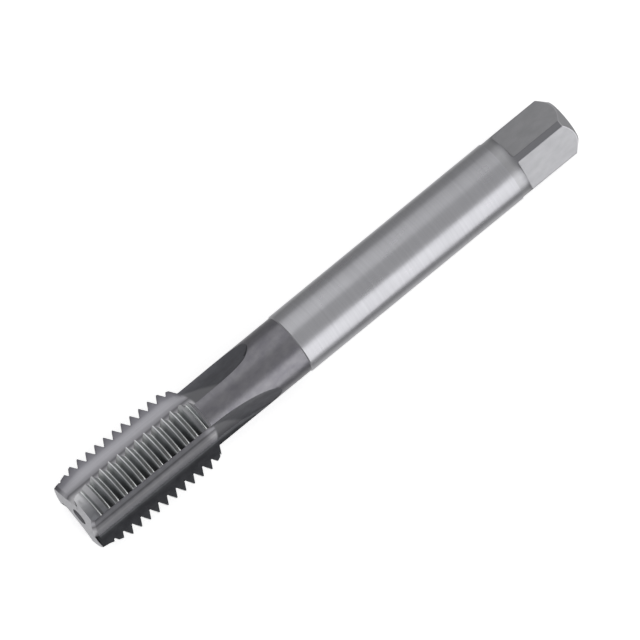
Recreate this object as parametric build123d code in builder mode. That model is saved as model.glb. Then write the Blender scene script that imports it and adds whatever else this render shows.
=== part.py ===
from build123d import *
import os
from math import acos, cos, degrees, radians, sin, tan

# A right-hand M16 x 2 machine tap, ground from one bar of high-speed steel.
# It lies on its side: +X runs along the tool axis from the tip to the drive end,
# and the origin is below the middle of its length, on the surface that it lies on.
# The tool is drawn upright on its own axis, tip at zero, and is laid down at the end.
# Polar angles about that axis start at the ray that points up when the tool lies down.
# All sizes are in millimetres and degrees.

# Lengths
overall_length = 110.0
thread_length = 27.2
shank_start = 47.9
collar_length = 14.1
square_length = 12.8

# Thread
thread_diameter = 16.4
thread_pitch = 2.0
thread_angle = 60.0
crest_flat = 0.16
root_flat = 0.22
thread_phase = -0.07

# Lead at the tip and taper at the back of the thread, as radial steps from the root
tip_relief = 0.04
pilot_length = 1.3
pilot_rise = 0.15
lead_end = 5.25
back_taper_length = 2.3
back_taper_rise = 0.44
back_step_length = 0.8

# Shank, with the neck and the collar ground a little thinner, and the drive square
shank_diameter = 12.0
shank_chamfer = 0.2
neck_relief = 0.185
collar_relief = 0.16
square_across_flats = 9.0
square_corner_angle = 7.4
square_fillet = 1.25
end_chamfer = 1.62

# Centre holes in both end faces
centre_drill_diameter = 1.6
centre_sink_diameter = 3.35
centre_sink_angle = 60.0
centre_drill_depth = 3.6
drill_point_angle = 118.0

# Three straight flutes, ground by a wheel that lifts out along the neck
flute_count = 3
land_angle = 47.1
rake_angle = 14.0
flute_depth = 4.15
flute_tilt = 10.7
flute_corner_radius = 0.8
heel_radius = 9.0
flute_overrun = 0.3
wheel_radius = 55.0
flute_bevel = 0.65
flute_bevel_angle = 28.0

# Room that the cutting bodies take outside the stock
overcut = 1.0
groove_overcut = 0.1
groove_margin = 16.0

flank_slope = tan(radians(thread_angle / 2))
thread_radius = thread_diameter / 2
thread_depth = (thread_pitch - crest_flat - root_flat) / 2 / flank_slope
root_radius = thread_radius - thread_depth
shank_radius = shank_diameter / 2
neck_radius = shank_radius - neck_relief
collar_radius = shank_radius - collar_relief
collar_start = overall_length - collar_length
back_taper_end = thread_length - back_step_length

# Each land is centred on its own ray, and each flute faces a little past the gap's middle
heel_edge_angle = land_angle / 2
lead_edge_angle = 360 / flute_count - land_angle / 2
flute_angle = 180 / flute_count + flute_tilt


def centre_hole_points(face_height, inward):
    """Half outline of a centre hole, from its rim to the drill point on the axis."""
    drill_radius = centre_drill_diameter / 2
    sink_radius = centre_sink_diameter / 2
    sink_depth = (sink_radius - drill_radius) / tan(radians(centre_sink_angle / 2))
    point_depth = drill_radius / tan(radians(drill_point_angle / 2))
    return [
        (sink_radius, face_height),
        (drill_radius, face_height + inward * sink_depth),
        (drill_radius, face_height + inward * centre_drill_depth),
        (0, face_height + inward * (centre_drill_depth + point_depth)),
    ]


# Turned blank, with the crests of the thread still one plain barrel.
# Its half outline stands in a flute, so that no seam of a turned face crosses a tooth.
with BuildPart() as blank:
    with BuildSketch(Plane.XZ.rotated((0, 0, flute_angle))) as blank_half:
        with BuildLine():
            Polyline(
                *reversed(centre_hole_points(0, 1)),
                (root_radius - tip_relief, 0),
                (root_radius + pilot_rise, pilot_length),
                (thread_radius, lead_end),
                (thread_radius, back_taper_end - back_taper_length),
                (root_radius + back_taper_rise, back_taper_end),
                (neck_radius, thread_length),
                (neck_radius, shank_start),
                (shank_radius - shank_chamfer, shank_start),
                (shank_radius, shank_start + shank_chamfer),
                (shank_radius, collar_start),
                (collar_radius, collar_start),
                (collar_radius, overall_length - end_chamfer),
                (collar_radius - end_chamfer, overall_length),
                *centre_hole_points(overall_length, -1),
                close=True,
            )
        make_face()
    revolve(axis=Axis.Z)

# Thread groove across one land: a trapezoid swept along a short stretch of the helix
groove_angle = land_angle + 2 * groove_margin
groove_top_radius = thread_radius + groove_overcut
groove_top_half = root_flat / 2 + (thread_depth + groove_overcut) * flank_slope

with BuildPart() as groove:
    with BuildLine() as groove_path:
        Helix(thread_pitch, thread_pitch * groove_angle / 360, root_radius)
    with BuildSketch(Plane.XZ) as groove_section:
        with BuildLine():
            Polyline(
                (root_radius, -root_flat / 2),
                (groove_top_radius, -groove_top_half),
                (groove_top_radius, groove_top_half),
                (root_radius, root_flat / 2),
                close=True,
            )
        make_face()
    sweep(path=groove_path.wire(), is_frenet=True)

# Each land carries every turn of the one helix, so its grooves start part of a pitch further on
groove_places = []
for land in range(flute_count):
    start_angle = 360 * land / flute_count - groove_angle / 2
    turn_height = thread_phase + thread_pitch * start_angle / 360
    while turn_height < thread_length + thread_pitch:
        groove_places.append(Location((0, 0, turn_height), (0, 0, start_angle)))
        turn_height += thread_pitch

# Flute: floor square to the local X axis, cutting face on the +Y side, heel on the -Y side
flute_floor = thread_radius - flute_depth
flute_runout_start = thread_length + flute_overrun
face_angle = radians(lead_edge_angle - flute_angle)
face_lean = face_angle - radians(rake_angle)
edge_x = thread_radius * cos(face_angle)
edge_y = thread_radius * sin(face_angle)
face_top_x = thread_radius + overcut
face_top_y = edge_y + (face_top_x - edge_x) * tan(face_lean)
face_foot_y = edge_y - (edge_x - flute_floor) * tan(face_lean)

heel_angle = radians(heel_edge_angle - flute_angle)
heel_x = thread_radius * cos(heel_angle)
heel_y = thread_radius * sin(heel_angle)
heel_rise = heel_x - flute_floor
heel_turn = acos(1 - heel_rise / heel_radius)
heel_foot_y = heel_y + heel_radius * sin(heel_turn)
heel_top_y = heel_y - (face_top_x - heel_x) / tan(heel_turn)

wheel_x = flute_floor + wheel_radius
wheel_axis = Axis((wheel_x, 0, flute_runout_start), (0, 1, 0))
wheel_turn = degrees(acos((wheel_x - face_top_x) / wheel_radius))

with BuildPart() as flute:
    with BuildSketch(Plane.XY.offset(flute_runout_start)) as flute_section:
        with BuildLine():
            FilletPolyline(
                (flute_floor, heel_foot_y),
                (flute_floor, face_foot_y),
                (face_top_x, face_top_y),
                radius=flute_corner_radius,
            )
            Polyline((face_top_x, face_top_y), (face_top_x, heel_top_y), (heel_x, heel_y))
            JernArc((flute_floor, heel_foot_y), (0, -1), heel_radius, degrees(heel_turn))
        make_face()
    extrude(amount=-flute_runout_start - overcut)
    revolve(flute_section.sketch, axis=wheel_axis, revolution_arc=wheel_turn)
    with BuildSketch(Plane.XY.offset(flute_bevel)) as flute_mouth:
        add(flute_section.sketch_local)
    extrude(amount=-flute_bevel - overcut, taper=-flute_bevel_angle)

# Drive square: one flat square to the local X axis, with a concave shoulder
square_start = overall_length - square_length
collar_clear = collar_radius + overcut

with BuildPart() as flat:
    with BuildSketch(Plane.XZ) as flat_section:
        with BuildLine():
            FilletPolyline(
                (square_across_flats / 2, overall_length + overcut),
                (square_across_flats / 2, square_start),
                (collar_clear, square_start),
                radius=square_fillet,
            )
            Polyline(
                (collar_clear, square_start),
                (collar_clear, overall_length + overcut),
                (square_across_flats / 2, overall_length + overcut),
            )
        make_face()
    extrude(amount=collar_clear, both=True)

# The finished tool on its own axis
with BuildPart() as upright:
    add(blank.part)
    with PolarLocations(0, flute_count, start_angle=flute_angle):
        add(flute.part, mode=Mode.SUBTRACT)
    with Locations(*groove_places):
        add(groove.part, mode=Mode.SUBTRACT)
    with PolarLocations(0, 4, start_angle=square_corner_angle + 45):
        add(flat.part, mode=Mode.SUBTRACT)

# Laid down with one flute below, resting on the crests at the edges of two lands
rest_angle = 180 / flute_count - land_angle / 2
axis_height = thread_radius * cos(radians(rest_angle))
lying = Plane(origin=(-overall_length / 2, 0, axis_height), x_dir=(0, 0, 1), z_dir=(1, 0, 0))

with BuildPart(lying) as tap:
    add(upright.part)

tap.part.label = "tap"
os.makedirs("parts", exist_ok=True)
export_step(tap.part, "parts/tap.step")
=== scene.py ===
"""A right-hand M16 x 2 machine tap, ground from one bar of high-speed steel.

The tool lies along X with its tip at the -X end. Heights are measured from the tip along the
axis, and angles about the axis from the ray that points up, positive towards -Y. Sizes are in
millimetres and degrees until a mesh is handed to Blender, which works in metres.
"""

from math import acos, cos, degrees, pi, radians, sin, tan

import bpy
import numpy as np
from mathutils import Matrix, Vector


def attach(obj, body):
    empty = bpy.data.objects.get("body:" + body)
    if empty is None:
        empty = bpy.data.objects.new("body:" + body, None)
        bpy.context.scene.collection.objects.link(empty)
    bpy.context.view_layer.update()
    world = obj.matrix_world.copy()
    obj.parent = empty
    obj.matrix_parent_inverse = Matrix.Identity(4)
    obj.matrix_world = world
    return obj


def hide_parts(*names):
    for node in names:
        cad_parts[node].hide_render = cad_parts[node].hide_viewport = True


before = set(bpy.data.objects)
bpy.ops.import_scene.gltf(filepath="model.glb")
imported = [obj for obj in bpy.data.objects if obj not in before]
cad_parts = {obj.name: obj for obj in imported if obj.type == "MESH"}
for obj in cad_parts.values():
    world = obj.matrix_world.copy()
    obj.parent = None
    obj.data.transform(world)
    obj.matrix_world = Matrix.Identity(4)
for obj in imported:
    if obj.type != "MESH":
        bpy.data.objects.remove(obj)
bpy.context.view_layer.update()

MM = 0.001

# Lengths along the axis
overall_length = 110.0
thread_length = 27.2
shank_start = 47.9
collar_length = 14.1
square_length = 12.8

# Thread
thread_diameter = 16.4
thread_pitch = 2.0
thread_angle = 60.0
crest_flat = 0.16
root_flat = 0.22
thread_phase = -0.07
honed_edge = 0.02

# Lead at the tip and taper at the back of the thread, as radial steps from the root
tip_relief = 0.04
pilot_length = 1.3
pilot_rise = 0.15
lead_end = 5.25
back_taper_length = 2.3
back_taper_rise = 0.44
back_step_length = 0.8

# Neck, shank, collar and drive square
shank_diameter = 12.0
shank_chamfer = 0.2
neck_relief = 0.185
collar_relief = 0.16
square_across_flats = 9.0
square_corner_angle = 7.4
square_fillet = 1.25
end_chamfer = 1.62
shoulder_radius = 0.5

# Centre holes
centre_drill_diameter = 1.6
centre_sink_diameter = 3.35
centre_sink_angle = 60.0
centre_drill_depth = 3.6
drill_point_angle = 118.0

# Flutes and the wheel that grinds them
flute_count = 3
land_angle = 47.1
rake_angle = 14.0
flute_depth = 4.15
flute_tilt = 10.7
flute_corner_radius = 0.8
heel_radius = 9.0
flute_overrun = 0.3
wheel_radius = 55.0
flute_bevel = 0.65
flute_bevel_angle = 28.0

flank_slope = tan(radians(thread_angle / 2))
thread_radius = thread_diameter / 2
thread_depth = (thread_pitch - crest_flat - root_flat) / 2 / flank_slope
root_radius = thread_radius - thread_depth
shank_radius = shank_diameter / 2
neck_radius = shank_radius - neck_relief
collar_radius = shank_radius - collar_relief
collar_start = overall_length - collar_length
flats_start = overall_length - square_length + square_fillet
back_taper_end = thread_length - back_step_length
sector = 360 / flute_count
rest_angle = sector / 2 - land_angle / 2
axis_height = thread_radius * cos(radians(rest_angle))

# One flute in its own frame: X square to its floor, the cutting face on +Y, the heel on -Y
flute_angle = sector / 2 + flute_tilt
flute_floor = thread_radius - flute_depth
runout_start = thread_length + flute_overrun
wheel_x = flute_floor + wheel_radius
face_angle = radians(sector - land_angle / 2 - flute_angle)
face_lean = face_angle - radians(rake_angle)
edge_x = thread_radius * cos(face_angle)
edge_y = thread_radius * sin(face_angle)
face_foot_y = edge_y - (edge_x - flute_floor) * tan(face_lean)
corner_y = face_foot_y - flute_corner_radius * tan((radians(90) - face_lean) / 2)
heel_angle = radians(land_angle / 2 - flute_angle)
heel_x = thread_radius * cos(heel_angle)
heel_turn = acos(1 - (heel_x - flute_floor) / heel_radius)
heel_foot_y = thread_radius * sin(heel_angle) + heel_radius * sin(heel_turn)
runout_length = (wheel_radius**2 - (wheel_x - neck_radius) ** 2) ** 0.5

# Columns of the mesh: each land, then the heel, floor, corner and cutting face of its flute,
# and the same number again on the flats and corners of the square
land_steps = 20
flute_steps = (6, 4, 6, 4)
flat_steps = 12
corner_steps = 18
sector_columns = land_steps + sum(flute_steps)
columns = flute_count * sector_columns

# Points along each stretch of a flute's outline, and rows of the mesh
outline_points = 60
flank_rows = 9
runout_rows = 40
neck_rows = 8
shank_rows = 16
shoulder_rows = 9
chamfer_rows = 12

# The tip face's inner ring: its share of the floor's radius, and of each land's width
tip_ring_share = 0.8
tip_ring_width = 0.78

# In metres: points closer than the weld become one, and no height above the root counts as less than
# a hairbreadth. In degrees: edges that bend by more than the crisp angle stay sharp.
weld = 1e-6
hairbreadth = 1e-7
crisp_angle = 24.0

# What the grinding of the thread is given: its sizes in metres, and the slope of its flanks
grinding_sizes = {
    "Pitch": thread_pitch * MM,
    "Start": (thread_phase - overall_length / 2) * MM,
    "Axis height": axis_height * MM,
    "Root radius": root_radius * MM,
    "Half root flat": root_flat / 2 * MM,
    "Flank slope": flank_slope,
    "Honed edge": honed_edge * MM,
}

# Finishes, as they are numbered on the faces
FINISHES = ("thread", "flute", "neck", "shank", "square", "end_face", "centre_hole")


def linear_colour(hex_code):
    """An sRGB hex colour as the linear colour that a shader socket takes."""
    channels = [int(hex_code[i : i + 2], 16) / 255 for i in (1, 3, 5)]
    return (*[c / 12.92 if c <= 0.04045 else ((c + 0.055) / 1.055) ** 2.4 for c in channels], 1)


def add(tree, kind, inputs=(), output=0, stops=(), **settings):
    """Adds one node with its settings, its inputs, each a value, a hex colour or a socket, and the
    stops of its colour ramp, and returns an output."""
    made = tree.nodes.new(kind)
    for name, value in settings.items():
        setattr(made, name, value)
    ramp = made.color_ramp.elements if stops else ()
    for place, _ in stops[1:-1]:
        ramp.new(place)
    for stop, (place, hex_code) in zip(ramp, stops):
        stop.position = place
        stop.color = linear_colour(hex_code)
    for socket, value in dict(inputs).items():
        if isinstance(value, bpy.types.NodeSocket):
            tree.links.new(value, made.inputs[socket])
        else:
            is_colour = isinstance(value, str) and value.startswith("#")
            made.inputs[socket].default_value = linear_colour(value) if is_colour else value
    return made.outputs[output] if made.outputs else made


# Shape


def blank_radius(height):
    """Radius of the turned blank over the thread, before its grooves are ground."""
    back_taper_start = back_taper_end - back_taper_length
    heights = (0, pilot_length, lead_end, back_taper_start, back_taper_end, thread_length)
    radii = (
        root_radius - tip_relief,
        root_radius + pilot_rise,
        thread_radius,
        thread_radius,
        root_radius + back_taper_rise,
        neck_radius,
    )
    return np.interp(height, heights, radii)


def flute_outline(grow=0.0, past=0.0):
    """Wall of a flute across the axis, heel side first: `grow` wider all round, `past` the wheel's
    lowest point. Returns its points, the lengths along it, and where its stretches meet."""
    turn = np.linspace(heel_turn, 0, outline_points)
    heel = np.array([
        flute_floor + heel_radius - (heel_radius + grow) * np.cos(turn),
        heel_foot_y - (heel_radius + grow) * np.sin(turn),
    ])
    turn = np.linspace(radians(180), radians(90) + face_lean, outline_points)
    corner = np.array([
        flute_floor + flute_corner_radius + (flute_corner_radius + grow) * np.cos(turn),
        corner_y + (flute_corner_radius + grow) * np.sin(turn),
    ])
    rise = thread_radius / 2
    heel_top = heel[:, 0] + rise * np.array([sin(heel_turn), -cos(heel_turn)])
    face_top = corner[:, -1] + rise * np.array([cos(face_lean), sin(face_lean)])
    points = np.concatenate([
        np.linspace(heel_top, heel[:, 0], outline_points, endpoint=False).T,
        heel,
        np.linspace(heel[:, -1], corner[:, 0], outline_points).T[:, 1:-1],
        corner,
        np.linspace(corner[:, -1], face_top, outline_points).T[:, 1:],
    ], axis=1)
    points[0] = wheel_x - np.sqrt((wheel_x - points[0]) ** 2 - past**2)
    lengths = np.concatenate([[0], np.cumsum(np.hypot(*np.diff(points)))])
    joins = lengths[[2 * outline_points - 1, 3 * outline_points - 2, 4 * outline_points - 3]]
    return points, lengths, joins


def crossings(outline, heel_side, face_side):
    """Lengths along a flute's wall at which it reaches a radius on its heel and on its face side."""
    points, lengths, _ = outline
    reach = np.hypot(*points)
    low = reach.argmin()
    return (
        np.interp(heel_side, reach[low::-1], lengths[low::-1]),
        np.interp(face_side, reach[low:], lengths[low:]),
    )


def wall_points(outline, places):
    """Radius and angle of places along a flute's wall."""
    points, lengths, _ = outline
    x, y = (np.interp(places, lengths, row) for row in points)
    return np.hypot(x, y), np.degrees(np.arctan2(y, x)) + flute_angle


def fluted_ring(radii, outline):
    """Radius and angle of one ring of columns, with the lands at the given radii."""
    ring_r = np.array(radii, float)
    ring_a = np.empty(columns + 1)
    _, start_edge = crossings(outline, radii[0], radii[0])
    edge_angle = wall_points(outline, start_edge)[1] - sector
    for flute in range(flute_count):
        first = flute * sector_columns
        heel = first + land_steps
        last = first + sector_columns
        ends = crossings(outline, radii[heel], radii[last])
        joins = [ends[0], *np.clip(outline[2], *ends), ends[1]]
        places = [
            np.linspace(start, end, steps, endpoint=False)
            for start, end, steps in zip(joins, joins[1:], flute_steps)
        ]
        wall_r, wall_a = wall_points(outline, np.concatenate([*places, [ends[1]]]))
        wall_a = wall_a + flute * sector
        ring_a[first : heel + 1] = np.linspace(edge_angle, wall_a[0], land_steps + 1)
        ring_a[heel : last + 1] = wall_a
        ring_r[heel + 1 : last] = wall_r[1:-1]
        edge_angle = wall_a[-1]
    return ring_r, ring_a


def groove_feet(ring_r, ring_a, outline):
    """Where each place of a ring ends up once a groove is cut to the root of the thread."""
    foot_r = np.minimum(ring_r, root_radius)
    foot_a = ring_a.copy()
    _, foot_wall = wall_points(outline, np.array(crossings(outline, root_radius, root_radius)))
    for flute in range(flute_count):
        first = flute * sector_columns
        heel = first + land_steps
        heel_foot = foot_wall[0] + flute * sector
        face_foot = foot_wall[1] + flute * sector
        foot_a[first : heel + 1] = np.linspace(face_foot - sector, heel_foot, land_steps + 1)
        wall = slice(heel, first + sector_columns + 1)
        middle = (heel_foot + face_foot) / 2
        near_foot = np.where(ring_a[wall] < middle, heel_foot, face_foot)
        foot_a[wall] = np.where(ring_r[wall] > root_radius, near_foot, ring_a[wall])
    return foot_r, foot_a


def square_ring(radius, flat_distance):
    """Radius and angle of one ring round the drive square, its columns starting on a flat."""
    half = degrees(acos(min(1, flat_distance / radius)))
    flats = np.arange(-1, 4) * 90 + 45 + square_corner_angle
    angles = [np.linspace(0, half, flat_steps // 2, endpoint=False) + flats[0]]
    for before, after in zip(flats, flats[1:]):
        angles.append(np.linspace(before + half, after - half, corner_steps, endpoint=False))
        angles.append(np.linspace(-half, half, flat_steps, endpoint=False) + after)
    angles = np.concatenate(angles)[:columns]
    angles = np.append(angles, angles[0] + 360)
    from_flat = (angles - flats[0] + 45) % 90 - 45
    return np.minimum(radius, flat_distance / np.cos(np.radians(from_flat))), angles


def column_turns():
    """Angle that each column's share of the helix is counted from, over one whole turn."""
    turns = [
        start + flute * sector
        for flute in range(flute_count)
        for start in (
            *np.linspace(-land_angle / 2, land_angle / 2, land_steps, endpoint=False),
            *np.linspace(land_angle / 2, sector - land_angle / 2, sum(flute_steps), endpoint=False),
        )
    ]
    return np.array([*turns, turns[0] + 360])


def thread_rows():
    """Heights of the rows over one pitch, measured from the middle of a groove."""
    root_edge = root_flat / 2
    crest_edge = (thread_pitch - crest_flat) / 2
    flank = np.linspace(root_edge, crest_edge, flank_rows)
    honed = [edge + side * honed_edge for edge in (root_edge, crest_edge) for side in (-1, 1)]
    half = np.unique(np.round(np.concatenate([flank, honed]), 6))
    return np.concatenate([half, (thread_pitch - half)[::-1]])


def centre_hole_rows(face_height, inward):
    """Radius and height of the rings down a centre hole, from its rim to the drill point."""
    drill_radius = centre_drill_diameter / 2
    sink_radius = centre_sink_diameter / 2
    sink_depth = (sink_radius - drill_radius) / tan(radians(centre_sink_angle / 2))
    point_depth = drill_radius / tan(radians(drill_point_angle / 2))
    return [
        (sink_radius, face_height),
        (drill_radius, face_height + inward * sink_depth),
        (drill_radius, face_height + inward * centre_drill_depth),
        (0, face_height + inward * (centre_drill_depth + point_depth)),
    ]


def tap_rings():
    """Every ring from the bottom of one centre hole to the bottom of the other, as
    (heights, radii, angles, foot radii, foot angles, finish of the band that follows)."""
    rings = []

    def ring(height, radii, angles, finish, foot=None):
        """Adds a ring, which is its own foot where no groove is cut."""
        heights = np.broadcast_to(np.asarray(height, float), (columns + 1,))
        radii = np.broadcast_to(np.asarray(radii, float), (columns + 1,))
        foot_r, foot_a = foot if foot else (radii, angles)
        rings.append((heights, radii, angles, foot_r, foot_a, finish))

    plain = flute_outline()
    mouth = flute_outline(flute_bevel * tan(radians(flute_bevel_angle)))
    tip_r, tip_a = fluted_ring(np.full(columns + 1, blank_radius(0)), mouth)

    # The tip face: an inner ring whose columns lean away from the raked walls
    inner_a = tip_a.copy()
    for flute in range(flute_count):
        first = flute * sector_columns
        last = first + sector_columns
        heel = first + land_steps
        floor = heel + flute_steps[0]
        corner = floor + flute_steps[1]
        middle = (tip_a[first] + tip_a[heel]) / 2
        inner_a[first : heel + 1] = middle + tip_ring_width * (tip_a[first : heel + 1] - middle)
        inner_a[heel : floor + 1] = np.linspace(inner_a[heel], tip_a[floor], flute_steps[0] + 1)
        next_edge = middle + sector - tip_ring_width * (tip_a[heel] - middle)
        inner_a[corner : last + 1] = np.linspace(tip_a[corner], next_edge, last + 1 - corner)

    for radius, height in reversed(centre_hole_rows(0, 1)):
        ring(height, radius, inner_a, "end_face" if height == 0 else "centre_hole")
    ring(0, tip_ring_share * flute_floor, inner_a, "end_face")
    ring(0, tip_r, tip_a, "thread")

    radii, angles = fluted_ring(np.full(columns + 1, blank_radius(flute_bevel)), plain)
    ring(flute_bevel, radii, angles, "thread")

    # Lead and thread: the rows run along the helix, so each carries its groove all the way round
    lift = thread_pitch * column_turns() / 360
    pitches = np.arange(-2, int(thread_length / thread_pitch) + 2) * thread_pitch + thread_phase
    for base in (pitches[:, None] + thread_rows()).ravel():
        heights = base + lift
        if heights.max() <= flute_bevel or heights.min() >= back_taper_end:
            continue
        heights = np.clip(heights, flute_bevel, back_taper_end)
        radii, angles = fluted_ring(blank_radius(heights), plain)
        ring(heights, radii, angles, "thread", groove_feet(radii, angles, plain))

    # Back step and the flutes' run-out along the neck
    for height, finish in ((back_taper_end, "thread"), (thread_length, "neck"), (runout_start, "neck")):
        radii, angles = fluted_ring(np.full(columns + 1, blank_radius(height)), plain)
        ring(height, radii, angles, finish)
    for share in np.sin(np.linspace(0, radians(90), runout_rows))[1:]:
        past = share * runout_length
        radii, angles = fluted_ring(np.full(columns + 1, neck_radius), flute_outline(past=past))
        ring(runout_start + past, np.minimum(radii, neck_radius), angles, "neck")
    neck_start = runout_start + runout_length
    ring(neck_start + honed_edge, neck_radius, angles, "neck")

    # Plain round stretches: the columns drift from the flutes' places to the square's
    flat_distance = square_across_flats / 2
    flute_a = angles
    square_a = square_ring(collar_radius, collar_radius)[1]

    def round_ring(height, radius, finish):
        """Adds a ring of a round stretch, as far along the drift as its height."""
        share = (height - neck_start) / (collar_start - neck_start)
        ring(height, radius, flute_a + min(1, share) * (square_a - flute_a), finish)

    for height in np.linspace(neck_start, shank_start, neck_rows)[1:]:
        round_ring(height, neck_radius, "neck")
    round_ring(shank_start, shank_radius - shank_chamfer, "shank")
    for height in np.linspace(shank_start + shank_chamfer, collar_start, shank_rows):
        round_ring(height, shank_radius, "shank")
    round_ring(collar_start, collar_radius, "square")

    # Drive square: concave shoulder, flats, end chamfer
    round_ring(flats_start - shoulder_radius, collar_radius, "square")
    for turn in np.radians(np.linspace(0, 90, shoulder_rows)):
        distance = flat_distance + shoulder_radius * (1 - sin(turn))
        height = flats_start - shoulder_radius * cos(turn)
        ring(height, *square_ring(collar_radius, distance), "square")
    chamfer_start = overall_length - end_chamfer
    for share in np.sin(np.linspace(0, radians(90), chamfer_rows)):
        radius = collar_radius - share * (collar_radius - flat_distance)
        height = chamfer_start + collar_radius - radius
        ring(height, *square_ring(radius, flat_distance), "square")
    end_radius = collar_radius - end_chamfer
    end_a = square_ring(end_radius, end_radius)[1]
    ring(overall_length, end_radius, end_a, "end_face")
    for radius, height in centre_hole_rows(overall_length, -1):
        ring(height, radius, end_a, "centre_hole")
    return rings


def placed(heights, radii, angles):
    """Rings of (height, radius, angle) as points of the tool where it lies, in metres."""
    turned = np.radians(angles)
    return MM * np.stack([
        heights - overall_length / 2, -radii * np.sin(turned), axis_height + radii * np.cos(turned)
    ], axis=-1)


def ground_blank():
    """The fluted blank as a mesh with its thread still to be ground."""
    rings = tap_rings()
    heights, radii, angles, foot_r, foot_a = (np.array([r[i] for r in rings]) for i in range(5))
    points = placed(heights, radii, angles).reshape(-1, 3)
    feet = placed(heights, foot_r, foot_a).reshape(-1, 3)
    rows = len(rings)
    index = np.arange(rows * (columns + 1)).reshape(rows, columns + 1)
    faces = np.stack([index[:-1, :-1], index[:-1, 1:], index[1:, 1:], index[1:, :-1]], axis=-1)
    finish = np.repeat([FINISHES.index(r[5]) for r in rings[:-1]], columns).reshape(rows - 1, columns)
    in_flute = np.tile(np.arange(sector_columns) >= land_steps, flute_count)
    fluted = np.array([r[5] in ("thread", "neck") for r in rings[:-1]])
    over_flutes = heights[:-1, 0] < runout_start + runout_length
    finish[np.ix_(fluted & over_flutes, in_flute)] = FINISHES.index("flute")
    turns = np.tile(column_turns() / 360, rows)
    across_land = np.linspace(1, 0, land_steps, endpoint=False)
    across_flute = np.linspace(0, 1, sum(flute_steps), endpoint=False)
    across = np.tile([*np.tile([*across_land, *across_flute], flute_count), 1], rows)
    mesh = bpy.data.meshes.new("ground_blank")
    mesh.from_pydata(points.tolist(), [], faces.reshape(-1, 4).tolist())
    mesh.attributes.new("foot", "FLOAT_VECTOR", "POINT").data.foreach_set("vector", feet.ravel())
    mesh.attributes.new("turn", "FLOAT", "POINT").data.foreach_set("value", turns)
    mesh.attributes.new("across", "FLOAT", "POINT").data.foreach_set("value", across)
    numbers = finish.ravel().astype(np.int32)
    mesh.attributes.new("finish", "INT", "FACE").data.foreach_set("value", numbers)
    return bpy.data.objects.new("tap_body", mesh)


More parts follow.
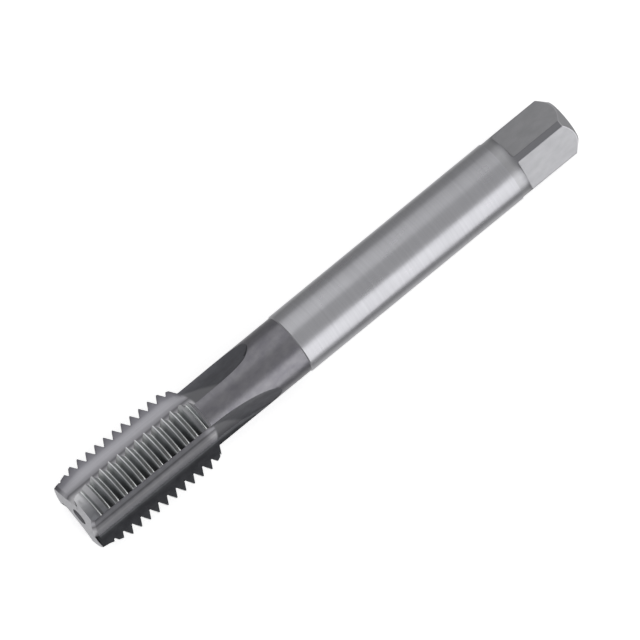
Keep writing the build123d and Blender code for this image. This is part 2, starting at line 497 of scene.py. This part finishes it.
def thread_grinding(materials):
    """Geometry Nodes tree that grinds the helical groove into the blank and gives it its finishes."""
    tree = bpy.data.node_groups.new("thread_grinding", "GeometryNodeTree")
    tree.interface.new_socket("Blank", in_out="INPUT", socket_type="NodeSocketGeometry")
    for name in grinding_sizes:
        tree.interface.new_socket(name, in_out="INPUT", socket_type="NodeSocketFloat")
    tree.interface.new_socket("Tap", in_out="OUTPUT", socket_type="NodeSocketGeometry")
    given = add(tree, "NodeGroupInput").node.outputs

    # How far each place lies from the middle of its groove, along the axis
    place = add(tree, "GeometryNodeInputPosition")
    x, y, z = add(tree, "ShaderNodeSeparateXYZ", {0: place}).node.outputs
    along = add(tree, "ShaderNodeMath", {0: x, 1: given["Start"]}, operation="SUBTRACT")
    pitches = add(tree, "ShaderNodeMath", {0: along, 1: given["Pitch"]}, operation="DIVIDE")
    turn = add(tree, "GeometryNodeInputNamedAttribute", {0: "turn"}, data_type="FLOAT")
    phase = add(tree, "ShaderNodeMath", {0: pitches, 1: turn}, operation="SUBTRACT")
    wrapped = add(tree, "ShaderNodeMath", {0: phase, 1: 0.5, 2: -0.5}, operation="WRAP")
    off = add(tree, "ShaderNodeMath", {0: wrapped}, operation="ABSOLUTE")
    off_middle = add(tree, "ShaderNodeMath", {0: off, 1: given["Pitch"]}, operation="MULTIPLY")

    # The groove's radius there: its flat root, and a flank on each side
    half_flat = given["Half root flat"]
    honed = given["Honed edge"]
    off_root = add(tree, "ShaderNodeMath", {0: off_middle, 1: half_flat}, operation="SUBTRACT")
    off_root = add(tree, "ShaderNodeMath", {0: off_root, 1: 0.0, 2: honed}, operation="SMOOTH_MAX")
    rise = add(tree, "ShaderNodeMath", {0: off_root, 1: given["Flank slope"]}, operation="DIVIDE")
    groove = add(tree, "ShaderNodeMath", {0: rise, 1: given["Root radius"]}, operation="ADD")

    # Where the blank stands above it, it is cut towards its foot at the root
    up = add(tree, "ShaderNodeMath", {0: z, 1: given["Axis height"]}, operation="SUBTRACT")
    off_axis = add(tree, "ShaderNodeCombineXYZ", {1: y, 2: up})
    own = add(tree, "ShaderNodeVectorMath", {0: off_axis}, output="Value", operation="LENGTH")
    left = add(tree, "ShaderNodeMath", {0: own, 1: groove, 2: honed}, operation="SMOOTH_MIN")
    cut = add(tree, "ShaderNodeMath", {0: own, 1: left}, operation="SUBTRACT")
    above = add(tree, "ShaderNodeMath", {0: own, 1: given["Root radius"]}, operation="SUBTRACT")
    above = add(tree, "ShaderNodeMath", {0: above, 1: hairbreadth}, operation="MAXIMUM")
    share = add(tree, "ShaderNodeMath", {0: cut, 1: above}, operation="DIVIDE", use_clamp=True)
    foot = add(tree, "GeometryNodeInputNamedAttribute", {0: "foot"}, data_type="FLOAT_VECTOR")
    ground = add(tree, "ShaderNodeMix", {0: share, 4: place, 5: foot}, output=1, data_type="VECTOR")
    shape = given["Blank"]
    for name, value in (("cut", cut), ("side", wrapped)):
        shape = add(
            tree, "GeometryNodeStoreNamedAttribute",
            {"Geometry": shape, "Name": name, "Value": value}, data_type="FLOAT", domain="POINT",
        )
    shape = add(tree, "GeometryNodeSetPosition", {"Geometry": shape, "Position": ground})
    shape = add(tree, "GeometryNodeMergeByDistance", {"Geometry": shape, "Distance": weld})

    # Smooth faces that meet in crisp edges
    shape = add(
        tree, "GeometryNodeSetShadeSmooth",
        {"Geometry": shape, "Shade Smooth": True}, domain="FACE",
    )
    bend = add(tree, "GeometryNodeInputMeshEdgeAngle")
    crisp = add(
        tree, "FunctionNodeCompare",
        {0: bend, 1: radians(crisp_angle)}, operation="GREATER_THAN",
    )
    shape = add(
        tree, "GeometryNodeSetShadeSmooth",
        {"Geometry": shape, "Selection": crisp, "Shade Smooth": False}, domain="EDGE",
    )
    shape = add(tree, "GeometryNodeRealizeInstances", {0: shape})
    finish = add(tree, "GeometryNodeInputNamedAttribute", {0: "finish"}, data_type="INT")
    for number, name in enumerate(FINISHES):
        chosen = add(
            tree, "FunctionNodeCompare",
            {2: finish, 3: number}, data_type="INT", operation="EQUAL",
        )
        shape = add(
            tree, "GeometryNodeSetMaterial",
            {"Geometry": shape, "Selection": chosen, "Material": materials[name]},
        )
    add(tree, "NodeGroupOutput", {0: shape})
    return tree


def ground_tap(materials):
    """The finished tap as one plain mesh."""
    tap = ground_blank()
    bpy.context.collection.objects.link(tap)
    modifier = tap.modifiers.new("thread_grinding", "NODES")
    modifier.node_group = thread_grinding(materials)
    for item in modifier.node_group.interface.items_tree:
        if item.name in grinding_sizes:
            modifier[item.identifier] = grinding_sizes[item.name]
    evaluated = tap.evaluated_get(bpy.context.evaluated_depsgraph_get())
    mesh = bpy.data.meshes.new_from_object(evaluated)
    tap.modifiers.clear()
    tap.data = mesh
    for name in ("foot", "turn", "finish"):
        mesh.attributes.remove(mesh.attributes[name])
    return tap


# Finishes


def steel(name, metallic=1.0):
    """A new steel and where its surface lies: the material, its nodes, the place in millimetres from
    the middle of the tip, and that place's height from the tip and distance from the axis."""
    material = bpy.data.materials.new(name)
    material.use_nodes = True
    tree = material.node_tree
    tree.nodes["Principled BSDF"].inputs["Metallic"].default_value = metallic
    place = add(tree, "ShaderNodeMapping", {
        "Vector": add(tree, "ShaderNodeTexCoord", output="Object"),
        "Location": (overall_length / 2, 0, -axis_height),
        "Scale": (1 / MM, 1 / MM, 1 / MM),
    })
    height, y, z = add(tree, "ShaderNodeSeparateXYZ", {0: place}).node.outputs
    off_axis = add(tree, "ShaderNodeCombineXYZ", {1: y, 2: z})
    radius = add(tree, "ShaderNodeVectorMath", {0: off_axis}, output="Value", operation="LENGTH")
    return material, tree, place, height, radius


def marks(tree, place, size, detail=2.0):
    """Marks left on the steel, of a given size in millimetres along, across and up, from 0 to 1."""
    per_mark = tuple(1 / length for length in size)
    spread = add(tree, "ShaderNodeMapping", {"Vector": place, "Scale": per_mark})
    grain = add(tree, "ShaderNodeTexNoise", {"Vector": spread, "Scale": 1.0, "Detail": detail})
    return add(tree, "ShaderNodeMapRange", {0: grain, 1: 0.3, 2: 0.7})


def finished(tree, colour, roughness, lines, depth):
    """Sets a steel's colour and roughness, and engraves its lines to a depth in millimetres."""
    shader = tree.nodes["Principled BSDF"]
    tree.links.new(colour, shader.inputs["Base Color"])
    tree.links.new(roughness, shader.inputs["Roughness"])
    bump = add(tree, "ShaderNodeBump", {"Height": lines, "Strength": 1.0, "Distance": depth * MM})
    tree.links.new(bump, shader.inputs["Normal"])


# Settings of the nodes that mix two colours and that rise smoothly from one value to another. A mix
# has its share at socket 0 and its colours at 6 and 7. A rise has its value at 0, where it starts and
# ends at 1 and 2, and, unless it goes from 0 to 1, what it starts and ends with at 3 and 4.
MIX = {"output": 2, "data_type": "RGBA"}
RISE = {"interpolation_type": "SMOOTHSTEP"}


def ground_shank():
    """Cylindrically ground high-speed steel: bright, with fine rings round the axis. The wheel
    leaves them about 0.03 mm apart, drawn here 0.3 mm apart so that they show."""
    material, tree, place, _, _ = steel("CylindricallyGroundShank")
    rings = marks(tree, place, (0.3, 12.0, 12.0), detail=3.0)
    patches = marks(tree, place, (6.0, 2.5, 2.5))
    colour = add(tree, "ShaderNodeMix", {0: rings, 6: "#afafb3", 7: "#b6b6ba"}, **MIX)
    roughness = add(tree, "ShaderNodeMapRange", {0: patches, 3: 0.27, 4: 0.33})
    finished(tree, colour, roughness, rings, depth=0.0002)
    return material


def tempered_neck():
    """High-speed steel ground and then steam tempered: a thin blue-grey oxide over rings 0.4 mm apart,
    coarser than the real 0.05 mm, and a little cloudy."""
    material, tree, place, _, _ = steel("SteamTemperedNeck")
    rings = marks(tree, place, (0.4, 9.0, 9.0), detail=3.0)
    clouds = marks(tree, place, (2.2, 1.4, 1.4), detail=3.0)
    colour = add(tree, "ShaderNodeMix", {0: clouds, 6: "#77767c", 7: "#868589"}, **MIX)
    roughness = add(tree, "ShaderNodeMapRange", {0: rings, 3: 0.3, 4: 0.38})
    finished(tree, colour, roughness, rings, depth=0.0006)
    return material


# In millimetres: how far down the crests are worn bright, with a painted highlight on them as well, and
# over what length the back step turns bright
crest_rub = 0.25
step_fade = 0.1

# Painted shade and light of a land from its heel to its cutting edge, on the flanks that face the tip:
# shaded at the heel, lit towards the cutting edge
tip_flank_shading_tones = (
    (0.1, "#3e3f41"), (0.34, "#65686a"), (0.55, "#999c9e"), (0.76, "#adb0b1"), (0.92, "#fafcfc"),
)


def tempered_thread():
    """High-speed steel, thread ground and steam tempered, with wheel lines that follow the groove,
    drawn 0.1 mm apart, the real ones 0.02. Light and shade are painted over the oxide: the flanks that
    face the tip carry painted shade, darkest at each land's heel and deep in the groove, with a painted
    highlight near the crests; the other flanks are painted lit, near white; and every land is painted
    lighter towards its cutting edge. The crests are worn bright and carry a painted highlight too."""
    material, tree, place, height, radius = steel("SteamTemperedThread")
    across = add(tree, "ShaderNodeAttribute", output="Fac", attribute_name="across")
    side = add(tree, "ShaderNodeAttribute", output="Fac", attribute_name="side")
    cut = add(tree, "ShaderNodeAttribute", output="Fac", attribute_name="cut")
    depth = add(tree, "ShaderNodeMath", {0: cut, 1: 1 / MM}, operation="MULTIPLY")
    clouds = marks(tree, place, (1.6, 0.9, 0.9), detail=3.0)
    down = add(tree, "ShaderNodeCombineXYZ", {0: depth, 1: clouds})
    lines = marks(tree, down, (0.1, 1.0, 1.0))

    # Painted light: lands, crests and rear flanks are painted lighter towards the cutting edge
    lit_towards_edge = add(tree, "ShaderNodeMapRange", {0: across, 1: 0.1, 2: 1.05}, **RISE)
    oxide = add(tree, "ShaderNodeMix", {0: clouds, 6: "#76777b", 7: "#848589"}, **MIX)
    land = add(tree, "ShaderNodeMix", {0: lit_towards_edge, 6: oxide, 7: "#cfcfd2"}, **MIX)
    # Painted shade on the flanks that face the tip, darker towards each land's heel
    tip_flank_shading = add(tree, "ShaderNodeValToRGB", {0: across}, stops=tip_flank_shading_tones)
    # Painted shade: the tip-facing flanks darken deeper in the groove
    deep = add(tree, "ShaderNodeMapRange", {0: depth, 1: 0.2, 2: 1.0}, **RISE)
    shaded = add(tree, "ShaderNodeMix", {0: deep, 6: "#ffffff", 7: "#bcbcbc"}, **MIX)
    tip_flank_shading = add(
        tree, "ShaderNodeMix", {0: 1.0, 6: tip_flank_shading, 7: shaded}, blend_type="MULTIPLY", **MIX
    )
    # Painted highlight: the tip-facing flanks lighten towards the crest
    near_crest = add(
        tree, "ShaderNodeMapRange", {0: depth, 1: 0.0, 2: 0.6, 3: 0.35, 4: 0.0}, **RISE
    )
    tip_flank_shading = add(tree, "ShaderNodeMix", {0: near_crest, 6: tip_flank_shading, 7: "#a8a9ab"}, **MIX)
    # Painted light: the flanks that face away from the tip are painted lit, near white
    rear_flank_light = add(tree, "ShaderNodeMix", {0: clouds, 6: "#f4f6f6", 7: "#fdfefe"}, **MIX)
    rear_flank_light = add(tree, "ShaderNodeMix", {0: lit_towards_edge, 6: rear_flank_light, 7: "#c6c8c9"}, **MIX)
    facing_tip = add(tree, "ShaderNodeMapRange", {0: side, 1: -0.05, 2: 0.05}, **RISE)
    flank = add(tree, "ShaderNodeMix", {0: facing_tip, 6: rear_flank_light, 7: tip_flank_shading}, **MIX)
    ground = add(tree, "ShaderNodeMapRange", {0: depth, 1: 0.0, 2: 0.1}, **RISE)
    colour = add(tree, "ShaderNodeMix", {0: ground, 6: land, 7: flank}, **MIX)
    # Crests worn bright, with a painted highlight, and painted lighter towards the cutting edge
    crest = add(tree, "ShaderNodeMix", {0: lit_towards_edge, 6: "#a4a5a7", 7: "#e2e3e5"}, **MIX)
    at_crest = add(
        tree, "ShaderNodeMapRange",
        {0: radius, 1: thread_radius - crest_rub, 2: thread_radius}, **RISE,
    )
    colour = add(tree, "ShaderNodeMix", {0: at_crest, 6: colour, 7: crest}, **MIX)
    in_step = add(
        tree, "ShaderNodeMapRange",
        {0: height, 1: back_taper_end, 2: back_taper_end + step_fade}, **RISE,
    )
    colour = add(tree, "ShaderNodeMix", {0: in_step, 6: colour, 7: "#ececee"}, **MIX)
    roughness = add(tree, "ShaderNodeMapRange", {0: lines, 3: 0.36, 4: 0.46})
    finished(tree, colour, roughness, lines, depth=0.0015)
    return material


# The lip where the second grind of a flute stops: how far it is from the tip, at what share of the
# flute's width it reaches furthest, how much it bows back on both sides of that, and over what length
# it fades. The oxide beyond it darkens over its front, which slants across the flute.
lip_height = 27.6
lip_middle = 0.35
lip_bow = 6.0
lip_fade = 0.5
oxide_front = (lip_height - 2.2, lip_height - 0.8)
oxide_slant = 14.0

# Tones of a flute from its heel to the corner below its cutting face: bare steel, darker towards the
# heel, with painted shade at 0.3 and a painted highlight from 0.35 to 0.5
flute_tones_and_light = (
    (0.0, "#66656b"), (0.065, "#828187"), (0.09, "#8d8c92"), (0.12, "#acabb1"), (0.16, "#c5c4ca"),
    (0.21, "#d6d5db"), (0.27, "#c4c3c9"), (0.3, "#949398"), (0.35, "#d7d6db"), (0.4, "#fcfbfe"),
    (0.5, "#f4f3f8"),
)


def reground_flute():
    """Flutes ground a second time after steam tempering: bare satin steel as far as a rounded lip
    behind the thread, old dark oxide beyond it, and painted shade on the cutting faces, which are as
    bare as the floor. On the bare steel a painted highlight runs along the floor, with painted shade
    beside it. Wheel lines run along the flute, drawn 0.25 mm apart, the real ones 0.05."""
    material, tree, place, height, _ = steel("RegroundFlute")
    across = add(tree, "ShaderNodeAttribute", output="Fac", attribute_name="across")
    lines = marks(tree, place, (14.0, 0.25, 0.25), detail=3.0)
    clouds = marks(tree, place, (1.8, 1.0, 1.0), detail=3.0)
    # Bare steel with painted light and shade across the flute
    bare = add(tree, "ShaderNodeValToRGB", {0: across}, stops=flute_tones_and_light)
    scored = add(tree, "ShaderNodeMapRange", {0: lines, 3: 0.12, 4: 0.0})
    bare = add(tree, "ShaderNodeMix", {0: scored, 6: bare, 7: "#606066"}, **MIX)
    # Painted shade of the cutting faces and the corners below them, with random clouds
    dark = add(tree, "ShaderNodeMix", {0: clouds, 6: "#47484b", 7: "#525356"}, **MIX)

    # Old oxide beyond the lip
    off_middle = add(tree, "ShaderNodeMath", {0: across, 1: lip_middle}, operation="SUBTRACT")
    squared = add(tree, "ShaderNodeMath", {0: off_middle, 1: off_middle}, operation="MULTIPLY")
    bowed = add(
        tree, "ShaderNodeMath", {0: squared, 1: lip_bow, 2: height}, operation="MULTIPLY_ADD"
    )
    behind = add(
        tree, "ShaderNodeMapRange", {0: bowed, 1: lip_height, 2: lip_height + lip_fade}, **RISE
    )
    slanted = add(
        tree, "ShaderNodeMath", {0: across, 1: -oxide_slant, 2: height}, operation="MULTIPLY_ADD"
    )
    faded = add(
        tree, "ShaderNodeMapRange", {0: slanted, 1: oxide_front[0], 2: oxide_front[1]}, **RISE
    )
    oxide = add(tree, "ShaderNodeMix", {0: clouds, 6: "#66666b", 7: "#707176"}, **MIX)
    oxide = add(tree, "ShaderNodeMix", {0: faded, 6: "#8f8f93", 7: oxide}, **MIX)
    colour = add(tree, "ShaderNodeMix", {0: behind, 6: bare, 7: oxide}, **MIX)
    on_face = add(tree, "ShaderNodeMapRange", {0: across, 1: 0.46, 2: 0.6}, **RISE)
    colour = add(tree, "ShaderNodeMix", {0: on_face, 6: colour, 7: dark}, **MIX)
    roughness = add(tree, "ShaderNodeMapRange", {0: lines, 3: 0.36, 4: 0.44})
    finished(tree, colour, roughness, lines, depth=0.0008)
    return material


# In millimetres, where one finish of the square turns into the next: depths below its round corners,
# the length of shoulder before the flats, and depths below its chamfer
corner_skin = (0.1, 0.04)
shoulder_fade = 1.6
rim_skin = (0.15, 0.05)


def ground_square():
    """Flats ground on a surface grinder: satin, with straight lines along the tool, drawn 0.3 mm
    apart where the wheel leaves them about 0.05, between duller rounded corners and a brighter
    chamfer."""
    material, tree, place, height, radius = steel("SurfaceGroundSquare")
    lines = marks(tree, place, (9.0, 0.3, 0.3), detail=3.0)
    clouds = marks(tree, place, (2.5, 1.5, 1.5))
    colour = add(tree, "ShaderNodeMix", {0: clouds, 6: "#a9a9ac", 7: "#b3b3b6"}, **MIX)
    outer = add(
        tree, "ShaderNodeMapRange",
        {0: radius, 1: collar_radius - corner_skin[0], 2: collar_radius - corner_skin[1]}, **RISE,
    )
    past_collar = add(
        tree, "ShaderNodeMapRange",
        {0: height, 1: flats_start - shoulder_fade, 2: flats_start}, **RISE,
    )
    corner = add(tree, "ShaderNodeMath", {0: outer, 1: past_collar}, operation="MULTIPLY")
    colour = add(tree, "ShaderNodeMix", {0: corner, 6: colour, 7: "#88888c"}, **MIX)
    rim = overall_length - end_chamfer + collar_radius
    on_rim = add(tree, "ShaderNodeMath", {0: height, 1: radius}, operation="ADD")
    on_rim = add(
        tree, "ShaderNodeMapRange",
        {0: on_rim, 1: rim - rim_skin[0], 2: rim - rim_skin[1]}, **RISE,
    )
    colour = add(tree, "ShaderNodeMix", {0: on_rim, 6: colour, 7: "#cfcfd2"}, **MIX)
    roughness = add(tree, "ShaderNodeMapRange", {0: lines, 3: 0.36, 4: 0.42})
    finished(tree, colour, roughness, lines, depth=0.0004)
    return material


def turned_face():
    """End faces turned on the lathe: light satin steel with rings round the centre, drawn 0.25 mm
    apart where the tool leaves them about 0.1."""
    material, tree, place, _, radius = steel("TurnedEndFace", metallic=0.85)
    outward = add(tree, "ShaderNodeCombineXYZ", {0: radius})
    rings = marks(tree, outward, (0.25, 1.0, 1.0))
    clouds = marks(tree, place, (0.8, 0.8, 0.8), detail=3.0)
    colour = add(tree, "ShaderNodeMix", {0: clouds, 6: "#b4b4b8", 7: "#c2c2c6"}, **MIX)
    roughness = add(tree, "ShaderNodeMapRange", {0: rings, 3: 0.36, 4: 0.46})
    finished(tree, colour, roughness, rings, depth=0.0015)
    return material


def drilled_hole():
    """Centre holes drilled and countersunk: duller steel with rings down the wall, drawn 0.2 mm apart
    where the drill leaves them about 0.05."""
    material, tree, place, _, _ = steel("DrilledCentreHole")
    rings = marks(tree, place, (0.2, 4.0, 4.0))
    colour = add(tree, "ShaderNodeMix", {0: rings, 6: "#77777b", 7: "#8a8a8e"}, **MIX)
    roughness = add(tree, "ShaderNodeMapRange", {0: rings, 3: 0.4, 4: 0.5})
    finished(tree, colour, roughness, rings, depth=0.002)
    return material


materials = {
    "thread": tempered_thread(),
    "flute": reground_flute(),
    "neck": tempered_neck(),
    "shank": ground_shank(),
    "square": ground_square(),
    "end_face": turned_face(),
    "centre_hole": drilled_hole(),
}

tap = ground_tap(materials)
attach(tap, "root")
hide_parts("tap")


# Camera, floor and light

# The camera looks down on the tap from a roll about its axis, with a tilt that brings its tip a
# little nearer, and a turn that runs it from lower left to upper right, all in degrees. The view's
# width, how far its centre is from the tip, and how far to one side, are in millimetres.
view_roll = 7.35
view_tilt = 10.3
view_turn = 39.28
view_width = 110.88
view_centre = 54.74
view_side = 0.019

# In metres: how far the camera and the soft boxes stand off, and half the width of the floor
camera_distance = 0.5
softbox_distance = 0.6
floor_reach = 2.0

roll, tilt, turn = (radians(angle) for angle in (view_roll, view_tilt, view_turn))
along_tap = Vector((1, 0, 0))
outward = Vector((0, -sin(roll), cos(roll)))
towards = (-sin(tilt) * along_tap + cos(tilt) * outward).normalized()
lengthways = (cos(tilt) * along_tap + sin(tilt) * outward).normalized()
sideways = lengthways.cross(towards).normalized()
right = cos(turn) * lengthways + sin(turn) * sideways
upward = sin(turn) * lengthways - cos(turn) * sideways
target = MM * (Vector((view_centre - overall_length / 2, 0, axis_height)) + view_side * sideways)

camera_data = bpy.data.cameras.new("camera")
camera_data.type = "ORTHO"
camera_data.ortho_scale = view_width * MM
camera = bpy.data.objects.new("camera", camera_data)
camera_axes = Matrix((right, upward, towards)).transposed().to_4x4()
camera.matrix_world = Matrix.Translation(target + camera_distance * towards) @ camera_axes
bpy.context.collection.objects.link(camera)
bpy.context.scene.camera = camera

floor_corners = [(x * floor_reach, y * floor_reach, 0) for x, y in ((-1, -1), (1, -1), (1, 1), (-1, 1))]
floor_mesh = bpy.data.meshes.new("floor")
floor_mesh.from_pydata(floor_corners, [], [(0, 1, 2, 3)])
floor = bpy.data.objects.new("floor", floor_mesh)
bpy.context.collection.objects.link(floor)
floor_material = bpy.data.materials.new("PaintedFloor")
floor_material.use_nodes = True
floor_shader = floor_material.node_tree.nodes["Principled BSDF"]
floor_shader.inputs["Base Color"].default_value = (0.9, 0.9, 0.9, 1)
floor_shader.inputs["Roughness"].default_value = 0.9
floor_shader.inputs["Emission Color"].default_value = (1, 1, 1, 1)
floor_shader.inputs["Emission Strength"].default_value = 0.6
floor_mesh.materials.append(floor_material)
floor.visible_glossy = False


def softbox(name, around, along, width, length, brightness):
    """A soft box that faces the tap from an angle around it and an angle along it, in degrees, with
    its own width and length in metres."""
    round_tap = cos(radians(around)) * outward + sin(radians(around)) * sideways
    direction = sin(radians(along)) * along_tap + cos(radians(along)) * round_tap
    data = bpy.data.lights.new(name, "AREA")
    data.shape = "RECTANGLE"
    data.size = width
    data.size_y = length
    data.energy = brightness * pi * width * length
    light = bpy.data.objects.new(name, data)
    turned = direction.to_track_quat("Z", "Y").to_matrix().to_4x4()
    light.matrix_world = Matrix.Translation(target + softbox_distance * direction) @ turned
    bpy.context.collection.objects.link(light)


softbox("key_softbox", around=67, along=10, width=0.56, length=0.7, brightness=1.28)
softbox("fill_softbox", around=-54, along=0, width=0.26, length=0.7, brightness=0.7)

world = bpy.data.worlds.new("studio")
world.use_nodes = True
sky = world.node_tree

# Greys of the studio from straight below to straight above
greys = (
    (0.0, "#e7e7e7"), (0.08, "#dddddd"), (0.2, "#9e9e9e"),
    (0.5, "#a6a6a6"), (0.7, "#b2b2b2"), (1.0, "#cdcdcd"),
)
facing = add(sky, "ShaderNodeTexCoord", output="Generated")
facing = add(sky, "ShaderNodeSeparateXYZ", {0: facing}, output="Z")
facing = add(sky, "ShaderNodeMapRange", {0: facing, 1: -1.0, 2: 1.0})
shade = add(sky, "ShaderNodeValToRGB", {0: facing}, stops=greys)

# Past the floor's edge the eye meets a backdrop as white as the floor
seen = add(sky, "ShaderNodeLightPath", output="Is Camera Ray")
shade = add(sky, "ShaderNodeMix", {0: seen, 6: shade, 7: "#ffffff"}, **MIX)
sky.links.new(shade, sky.nodes["Background"].inputs["Color"])
bpy.context.scene.world = world
bpy.context.scene.view_settings.view_transform = "Standard"
